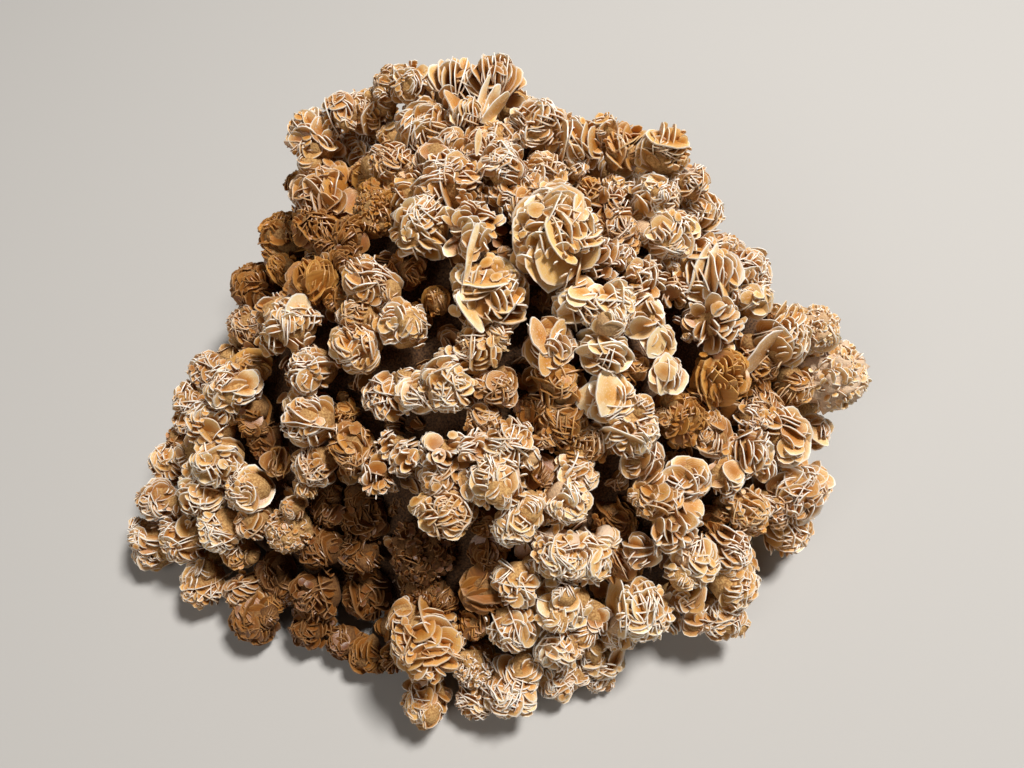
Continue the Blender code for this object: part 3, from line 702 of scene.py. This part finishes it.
def shaped(blades, turns, rings, draws):
    """The pattern bent, waved and set in place once for each blade, with its faces and values."""
    points, faces = blade_pattern(turns, rings)
    share = np.hypot(points[:, 0], points[:, 1])
    around = np.arctan2(points[:, 1], points[:, 0])
    count = len(blades)
    of = {
        field: np.array([getattr(blade, field) for blade in blades], float).reshape(count, 1, -1)
        for field in Blade._fields
    }
    flat = {field: value[..., 0] for field, value in of.items()}

    def waves(table):
        total = np.zeros((count, len(points)))
        for number, high in table:
            phase = draws.uniform(0, math.tau, (count, 1))
            total += high * draws.uniform(0.3, 1.3, (count, 1)) * np.cos(number * around + phase)
        return total

    out = share * flat["reach"] * (1 + waves(OUTLINE_WAVES))
    across = out * np.cos(around) * flat["narrow"]
    along = out * np.sin(around)
    high = np.sign(points[:, 2]) * (1 + (np.abs(points[:, 2]) - 1) * 2 * flat["swell"])
    high = high * flat["thick"] / 2 + flat["bow"] * (across**2 / flat["reach"] - flat["reach"] / 4)
    high = high + flat["wave"] * flat["reach"] * waves(RIPPLES) * share**2
    normal = of["normal"]
    side = np.cross(of["along"], normal)
    side /= np.linalg.norm(side, axis=2, keepdims=True)
    other = np.cross(normal, side)
    places = of["centre"] + across[..., None] * side + along[..., None] * other + high[..., None] * normal
    places[..., 2] = np.maximum(places[..., 2], 0)
    values = {
        "rim": np.broadcast_to(share, out.shape),
        "depth": np.linalg.norm(places - of["heart"], axis=2) / flat["size"],
        "tint": np.broadcast_to(flat["tint"], out.shape),
        "pale": np.broadcast_to(flat["pale"], out.shape),
    }
    lie = np.stack((across, along, np.broadcast_to(draws.uniform(0, 9, (count, 1)), out.shape)), 2)
    return places.reshape(-1, 3), np.tile(faces, (count, 1, 1)), values, lie.reshape(-1, 3)


def blades_mesh(name, blades):
    """All these blades as one mesh."""
    draws = np.random.default_rng(len(blades))
    start = 0
    places, corners, values, lies = [], [], [], []
    smallest = 0
    for reach, turns, rings in FINENESS:
        group = [blade for blade in blades if smallest < blade.reach <= reach]
        smallest = reach
        if not group:
            continue
        spots, faces, value, lie = shaped(group, turns, rings, draws)
        firsts = start + np.arange(len(group)) * (len(spots) // len(group))
        corners.append((faces + firsts[:, None, None]).reshape(-1, 3))
        start += len(spots)
        places.append(spots)
        values.append(value)
        lies.append(lie)
    places, corners, lies = np.concatenate(places), np.concatenate(corners), np.concatenate(lies)
    mesh = bpy.data.meshes.new(name)
    mesh.vertices.add(len(places))
    mesh.vertices.foreach_set("co", places.astype(np.float32).ravel())
    mesh.loops.add(corners.size)
    mesh.loops.foreach_set("vertex_index", corners.astype(np.int32).ravel())
    mesh.polygons.add(len(corners))
    mesh.polygons.foreach_set("loop_start", np.arange(0, corners.size, 3, dtype=np.int32))
    mesh.update(calc_edges=True)
    for label in values[0]:
        value = np.concatenate([part[label].ravel() for part in values]).astype(np.float32)
        mesh.attributes.new(label, "FLOAT", "POINT").data.foreach_set("value", value)
    lie = mesh.attributes.new("lie", "FLOAT_VECTOR", "POINT")
    lie.data.foreach_set("vector", lies.astype(np.float32).ravel())
    mesh.shade_smooth()
    mesh.set_sharp_from_angle(angle=SHARP_FROM)
    return mesh


def maths(tree, operation, *values):
    """A sum, product or the like of values."""
    return node(tree, "ShaderNodeMath", dict(enumerate(values)), operation=operation).outputs[0]


# Honey by tint, cream and frost by how pale a blade is, and what is left of the honey from the middle of
# a blade to its rim.
# The low ends of honey and frost also show the painted shade that sunk and shaded rosettes carry in their
# tint and pale.
HONEY = (
    (0.0, (0.16, 0.055, 0.010)), (1.0, (0.86, 0.58, 0.22)), (0.3, (0.40, 0.165, 0.028)),
    (0.6, (0.66, 0.33, 0.07)), (0.8, (0.78, 0.45, 0.12)),
)
CREAM = ((0.3, (0.80, 0.47, 0.15)), (1.0, (0.95, 0.79, 0.52)))
FROST = ((0.0, (0.60, 0.36, 0.16)), (0.6, (0.97, 0.90, 0.80)))
CLEAR = ((0.25, (0.80, 0.60, 0.34)), (0.88, 1.0))
# Red-brown of the sand, which also serves as painted shade deep in the balls.
RED_SAND_AND_SHADE = (0.33, 0.12, 0.02, 1)
# Clouds, cleavage streaks across and along a blade, and specks of frost, to a metre.
CLOUDS = 170
STREAKS = (900, 110, 1)
SPECKS = 1100
# Growth lines: how close they lie, in radians to a reach, and how far the clouds bend them.
GROWTH = 48.0
GROWTH_BEND = 14.0
STREAK_HIGH = 0.0003


def frosted_gypsum():
    """Honey-coloured gypsum: clearer faces, and white frost on the rims."""
    made = bpy.data.materials.new("frosted_gypsum")
    made.use_nodes = True
    tree = made.node_tree
    rim, depth, pale = (read(tree, label) for label in ("rim", "depth", "pale"))
    spot = node(tree, "ShaderNodeTexCoord").outputs["Object"]
    cloud = grains(tree, spot, CLOUDS, 5)
    lie = node(tree, "ShaderNodeMapping", {"Vector": read(tree, "lie", "Vector"), "Scale": STREAKS})
    streak = grains(tree, lie.outputs[0], 1, 3)
    uneven = maths(tree, "MULTIPLY", maths(tree, "SUBTRACT", streak, 0.5), 0.5)
    honey = ramp(tree, maths(tree, "ADD", read(tree, "tint"), uneven), *HONEY)
    # Growth lines run parallel to the rim.
    bend = maths(tree, "MULTIPLY", cloud, GROWTH_BEND)
    growth = maths(tree, "SINE", maths(tree, "ADD", maths(tree, "MULTIPLY", rim, GROWTH), bend))
    growth = ramp(tree, growth, (0.72, 0.0), (0.98, 1.0))
    growth = maths(tree, "MULTIPLY", growth, ramp(tree, rim, (0.35, 0.0), (0.6, 0.22)))
    # The outer ends of the blades are frosted over in clouds.
    outer = ramp(tree, depth, (0.80, 0.0), (1.00, 0.9))
    cover = maths(tree, "MULTIPLY", pale, ramp(tree, cloud, (0.35, 0.3), (0.62, 1.0)))
    honey = mix(tree, maths(tree, "MULTIPLY", outer, cover), honey, ramp(tree, pale, *CREAM))
    honey = mix(tree, 1.0, honey, ramp(tree, rim, *CLEAR), "MULTIPLY")
    # Deep between the blades the gypsum turns red-brown and dark: partly the red-brown of the sand,
    # partly painted shade.
    deep_sand_and_shade = ramp(tree, depth, (0.58, 1.0), (0.96, 0.0))
    honey = mix(tree, deep_sand_and_shade, honey, RED_SAND_AND_SHADE)
    frost = ramp(tree, rim, (0.89, 0.0), (0.985, 1.0))
    # Painted shade also takes the frost off deep in the ball.
    frost = maths(tree, "MULTIPLY", frost, maths(tree, "SUBTRACT", 1.0, deep_sand_and_shade))
    specks = ramp(tree, grains(tree, spot, SPECKS, 1), (0.54, 0.0), (0.70, 0.4))
    specks = maths(tree, "MULTIPLY", specks, outer)
    frost = maths(tree, "MAXIMUM", maths(tree, "MAXIMUM", frost, growth), specks)
    frost = maths(tree, "MULTIPLY", frost, ramp(tree, cloud, (0.30, 0.6), (0.55, 1.0)))
    frost = maths(tree, "MULTIPLY", frost, ramp(tree, pale, (0.0, 0.3), (0.6, 1.0)))
    skin = mix(tree, frost, honey, ramp(tree, pale, *FROST))
    shader = tree.nodes["Principled BSDF"]
    tree.links.new(skin, shader.inputs["Base Color"])
    shader.inputs["Roughness"].default_value = 0.38
    shader.inputs["Subsurface Weight"].default_value = 0.25
    shader.inputs["Subsurface Radius"].default_value = (1.0, 0.8, 0.6)
    shader.inputs["Subsurface Scale"].default_value = 0.0015
    uneven = maths(tree, "ADD", streak, growth)
    rough = node(tree, "ShaderNodeBump", {"Height": uneven, "Strength": 0.4, "Distance": STREAK_HIGH})
    tree.links.new(rough.outputs["Normal"], shader.inputs["Normal"])
    return made


# Where sand stains the cluster and shade is painted into its recesses: column and row on the sight grid,
# how wide each patch spreads, and how much darker and barer of frost the rosettes are there.
STAINS_AND_PAINTED_SHADE = (
    (325, 255, 60, 0.48, 1.0), (370, 565, 65, 0.65, 1.0), (310, 620, 55, 0.55, 0.9),
    (525, 385, 35, 0.35, 0.6), (705, 385, 35, 0.30, 0.5), (285, 420, 30, 0.30, 0.5),
)
# Tint and pale of a rosette at mid height: the middle, the spread and what a sunk mm takes away, which
# paints shade into the rosettes sunk below the mound.
TINT = (0.74, 0.14, 0.03)
PALE = (0.78, 0.20, 0.055)
MID_HEIGHT = 0.09
# Painted light: higher rosettes are lighter and frostier, by so much to a metre above mid height.
PAINTED_LIGHT_UPWARDS = 0.4
TONE_MOST = 0.86
# Broad blades are clearer, with less frost, and sandy masses are cleaner sand.
BROAD_CLEARER = 0.28
MASS_CLEANER = 0.3
BLADES_PAST = 1.05
# How far the placed rosettes turn from the middle of the mound towards the eye.
TO_EYE = 0.8
# Up to this many sunk mm paint shade into a placed rosette.
SUNK_MOST = 20


def rose_at(spot, size, seed, kind, sunk=0, turned=0.0):
    """A rosette's place and tone: paler towards the top as painted light, and darker and barer of frost
    where it is sunk, as painted shade, or where a patch of stain and painted shade lies.
    """
    chance = random.Random(seed)
    column, row, _ = on_grid(spot)
    # Painted light and shade: tint and pale rise with height and fall with each sunk mm.
    tint, pale = (
        middle + PAINTED_LIGHT_UPWARDS * (spot.z - MID_HEIGHT) + chance.uniform(-spread, spread) - sunk * sunk_shade
        for middle, spread, sunk_shade in (TINT, PALE)
    )
    # Each patch darkens the rosettes near it and strips their frost: part sand stain, part painted shade.
    for patch_column, patch_row, spread, darker, barer in STAINS_AND_PAINTED_SHADE:
        away = (column - patch_column) ** 2 + (row - patch_row) ** 2
        near = math.exp(-away / (2 * spread**2))
        tint -= darker * near
        pale -= barer * near
    if kind == "s":
        hearts.append((spot, size * HEART_SHARE[kind], MASS_FINENESS, tint + MASS_CLEANER))
    else:
        hearts.append((spot, size * HEART_SHARE[kind], HEART_FINENESS, tint))
    tint, pale = min(tint, TONE_MOST), min(pale, TONE_MOST) - (BROAD_CLEARER if kind == "b" else 0)
    outward = ((spot - MOUND_MIDDLE).normalized() + (EYE - spot).normalized() * turned).normalized()
    return Rose(spot, size * BLADES_PAST, outward, chance, tint, pale, any_way(chance))


frosted = frosted_gypsum()
numbers = itertools.count()
for region, members in ROSETTES.items():
    grown = []
    for _, _, _, sunk, kind in members:
        number = next(numbers)
        seed = SEED * 1000 + number
        grown += KINDS[kind](rose_at(*placed[number], seed, kind, min(sunk, SUNK_MOST), TO_EYE))
    linked(f"rosettes_{region}", blades_mesh(region, free(grown)), frosted)

# ------------------------------------------------------------------------------ small rosettes
# On the ridge and down the right side, small rosettes and shards of the same gypsum have grown
# into the spaces between the large ones, and have fused with them.
# From and to which column and row of the sight grid they stand, and how many.
SMALL_AREAS = (
    (320, 560, 110, 225, 22), (560, 680, 160, 235, 7), (600, 725, 240, 330, 12),
    (640, 780, 410, 550, 12), (520, 600, 430, 560, 5),
)
SMALL_HALF = (13, 18)
SMALL_SUNK = (2, 8)
# Two in three are balls.
SMALL_KINDS = "rrx"
chance = random.Random(SEED * 4000)
grown = []
for left, right, top, bottom, count in SMALL_AREAS:
    for _ in range(count):
        column, row = chance.uniform(left, right), chance.uniform(top, bottom)
        sunk = chance.uniform(*SMALL_SUNK)
        spot, size = place(column, row, chance.uniform(*SMALL_HALF), sunk)
        kind = chance.choice(SMALL_KINDS)
        grown += KINDS[kind](rose_at(spot, size, chance.random(), kind, sunk, TO_EYE))
linked("small_rosettes", blades_mesh("small_rosettes", free(grown)), frosted)

# ------------------------------------------------------------------------------ large blades
# Some blades have outgrown their rosettes: broad clear ones, a long white one below the summit
# and the glassy fan on the ridge. Each is fused by one edge into the rosette behind it.
LARGE_DEEP = 0.013
LARGE_BOW = 0.25
LARGE_THICK = 1.3
# Column, row and half length on the sight grid, width share, degrees the length leans to the
# right and degrees the blade is turned from facing the eye, mm it stands out, and its tint.
LARGE_BLADES = (
    (468, 259, 35, 0.10, 9, 40, 20, 1.0), (458, 108, 22, 0.60, -45, 55, 8, 0.45),
    (496, 108, 19, 0.45, 38, 55, 8, 0.85), (482, 102, 26, 0.30, 3, 60, 9, 1.0),
    (489, 104, 22, 0.32, 18, 62, 8, 0.9), (478, 142, 13, 0.30, 0, 30, 12, 1.0),
    (522, 236, 27, 0.55, -8, 55, 14, 0.85), (297, 316, 22, 0.80, 15, 42, 13, 1.0),
    (657, 342, 16, 0.90, 20, 30, 11, 0.95), (665, 374, 21, 0.60, 10, 30, 11, 0.95),
    (609, 394, 23, 0.85, 0, 35, 13, 1.0), (580, 306, 21, 0.75, 70, 48, 12, 0.7),
    (603, 350, 26, 0.42, 85, 48, 13, 0.95), (710, 272, 28, 0.30, 4, 48, 13, 0.95),
    (722, 284, 26, 0.26, -14, 50, 13, 0.9), (698, 268, 25, 0.26, 16, 52, 13, 0.85),
    (539, 336, 19, 0.62, -22, 42, 13, 0.65), (557, 338, 19, 0.62, 16, 45, 13, 0.7),
    (546, 360, 16, 0.75, 0, 35, 12, 0.65), (763, 350, 29, 0.50, 35, 60, 14, 0.55),
    (816, 432, 16, 0.70, -30, 35, 8, 1.0), (800, 446, 14, 0.75, 20, 40, 9, 1.0),
    (470, 312, 23, 0.50, -35, 48, 15, 0.9), (232, 380, 16, 0.60, -30, 48, 13, 1.0),
)


def large_blades():
    """Single blades set where their sight lines meet the mound, a little proud of it."""
    found = []
    for number, (column, row, half, narrow, lean, turned, proud, tint) in enumerate(LARGE_BLADES):
        spot, reach = place(column, row, half, 0)
        to_eye = (EYE - spot).normalized()
        spot += to_eye * (proud / 1000)
        lean, turned = math.radians(lean), math.radians(turned)
        along = UPHILL * math.cos(lean) + Vector((math.sin(lean), 0, 0))
        across = Vector((math.cos(lean), 0, 0)) - UPHILL * math.sin(lean)
        normal = to_eye * math.cos(turned) + across * math.sin(turned)
        chance = random.Random(SEED * 3000 + number)
        rose = Rose(spot - to_eye * LARGE_DEEP, LARGE_DEEP, to_eye, chance, tint, tint, to_eye)
        made = blade(
            rose, to_eye, normal, reach, along=along, thick=LARGE_THICK, narrow=narrow, bow=LARGE_BOW,
        )
        found.append(made._replace(centre=spot))
    return found


linked("large_blades", blades_mesh("large_blades", large_blades()), frosted)

# ------------------------------------------------------------------------------ flanks and back
# The flanks and the back carry plainer rosettes of the same gypsum all over, each a sandy heart
# with a few blades, fused to the core and to its neighbours.
PLAIN_PETALS = ((5, (0, 25), (0.3, 0.6)), (3, (25, 50), (0.35, 0.6)))
sides = {"left_flank": [], "right_flank": []}
for number, (spot, size) in enumerate(others):
    side = sides["left_flank" if spot.x < 0 else "right_flank"]
    side += petal_groups(rose_at(spot, size, SEED * 2000 + number, "r"), PLAIN_PETALS)
for side, grown in sides.items():
    linked(f"rosettes_{side}", blades_mesh(side, free(grown)), frosted)

# ------------------------------------------------------------------------------ crust
# Where the rosettes leave the core open, tufts of small blades have grown straight from the
# sand. They are brown with it, and close the gaps.
CRUST_TUFTS = 380
CRUST_SIZE = (0.0055, 0.0095)
CRUST_TINT = 0.32
CRUST_PALE = 0.2
# How far up the skin a tuft's middle is, in radii.
CRUST_PROUD = 0.3
# A face of the core is open where the next rosette's heart is further off than this.
CRUST_OPEN = 0.010
# Undersides of the skin, whose normals point down more than this, have none.
CRUST_UNDER = -0.3


def crust():
    """Tufts of blades on faces of the core's skin, picked by their area and how open they are."""
    skin = [face for face in core.data.polygons if face.normal.z > CRUST_UNDER]
    centres = np.array([face.center for face in skin])
    gaps = np.linalg.norm(centres[:, None] - packed[None, :, :3], axis=2) - packed[:, 3]
    room = np.clip(gaps.min(axis=1) - CRUST_OPEN, 0, None) * [face.area for face in skin]
    chance = random.Random(SEED)
    found = []
    for face in chance.choices(skin, room.tolist(), k=CRUST_TUFTS):
        size = chance.uniform(*CRUST_SIZE)
        spot = Vector(face.center) + face.normal * size * CRUST_PROUD
        up = face.normal.copy()
        tuft = Rose(spot, size, up, chance, CRUST_TINT, CRUST_PALE, any_way(chance))
        found += petals(tuft, 3, (0, 50), (0.5, 0.8))
    return found


linked("crust", blades_mesh("crust", crust()), frosted)

# ------------------------------------------------------------------------------ sandy lumps
# Inside each rosette is the ball of sand that it grew round, cemented by the same gypsum and
# stained by iron. A few have stayed lumps of bare sand.
LUMP_NOISE = 250
LUMP_HIGH = 0.35


def sandy_lumps():
    """Every heart as an uneven ball, all in one mesh."""
    body = bmesh.new()
    tints = []
    for spot, radius, fineness, tint in hearts:
        lump = bmesh.ops.create_icosphere(
            body, subdivisions=fineness, radius=radius, matrix=Matrix.Translation(spot),
        )["verts"]
        for vert in lump:
            away = vert.co - spot
            vert.co += away * noise.noise(vert.co * LUMP_NOISE) * LUMP_HIGH
            vert.co.z = max(vert.co.z, 0.0)
        # Each heart keeps its rosette's tint, painted light and shade included.
        tints += [tint] * len(lump)
    mesh = bpy.data.meshes.new("sandy_lumps")
    body.to_mesh(mesh)
    body.free()
    mesh.attributes.new("tint", "FLOAT", "POINT").data.foreach_set("value", tints)
    mesh.shade_smooth()
    return mesh


stained_sand = sand("stained_gypsum", (0.36, 0.17, 0.05), (0.70, 0.43, 0.16))
linked("sandy_lumps", sandy_lumps(), stained_sand)

# ------------------------------------------------------------------------------ floor
# A plain sheet of pale matt paper, which the cluster rests on. It is no part of the object.
FLOOR_HALF = 3.0
PAPER_TONE = (0.50, 0.49, 0.47, 1)
floor_mesh = bpy.data.meshes.new("floor")
plate = bmesh.new()
bmesh.ops.create_grid(plate, x_segments=1, y_segments=1, size=FLOOR_HALF)
plate.to_mesh(floor_mesh)
plate.free()
floor = bpy.data.objects.new("floor", floor_mesh)
bpy.context.scene.collection.objects.link(floor)
paper = bpy.data.materials.new("paper")
paper.use_nodes = True
paper_shader = paper.node_tree.nodes["Principled BSDF"]
paper_shader.inputs["Base Color"].default_value = PAPER_TONE
paper_shader.inputs["Roughness"].default_value = 0.9
floor.data.materials.append(paper)

# ------------------------------------------------------------------------------ light and eye
# A softbox stands behind and above, on the right, with a weak one opposite and a dim room.
# The eye looks down on the front from where the sight grid is drawn.
LIGHT_AIM = Vector((0, 0, 0.08))


def softbox(name, spot, size, watts, colour):
    """A square lamp aimed at the cluster."""
    lamp = bpy.data.lights.new(name, "AREA")
    lamp.shape = "SQUARE"
    lamp.size = size
    lamp.energy = watts
    lamp.color = colour
    made = bpy.data.objects.new(name, lamp)
    made.location = spot
    made.rotation_mode = "QUATERNION"
    made.rotation_quaternion = (LIGHT_AIM - Vector(spot)).to_track_quat("-Z", "Y")
    bpy.context.scene.collection.objects.link(made)


softbox("key", (0.85, 0.50, 2.3), size=0.5, watts=78, colour=(1.0, 0.97, 0.94))
softbox("fill", (-1.2, -1.4, 1.9), size=1.2, watts=13, colour=(1.0, 0.95, 0.9))
world = bpy.data.worlds.new("room")
bpy.context.scene.world = world
world.use_nodes = True
room = world.node_tree.nodes["Background"]
room.inputs["Color"].default_value = (0.95, 0.92, 0.88, 1)
room.inputs["Strength"].default_value = 0.03
bpy.context.scene.view_settings.view_transform = "Standard"

SENSOR = 36.0
GRID_WIDE = 1024
lens = bpy.data.cameras.new("eye")
lens.sensor_width = SENSOR
lens.lens = EYE_REACH * SENSOR / GRID_WIDE
eye = bpy.data.objects.new("eye", lens)
eye.location = EYE
eye.rotation_euler = (math.pi / 2 - EYE_PITCH, 0, 0)
bpy.context.scene.collection.objects.link(eye)
bpy.context.scene.camera = eye
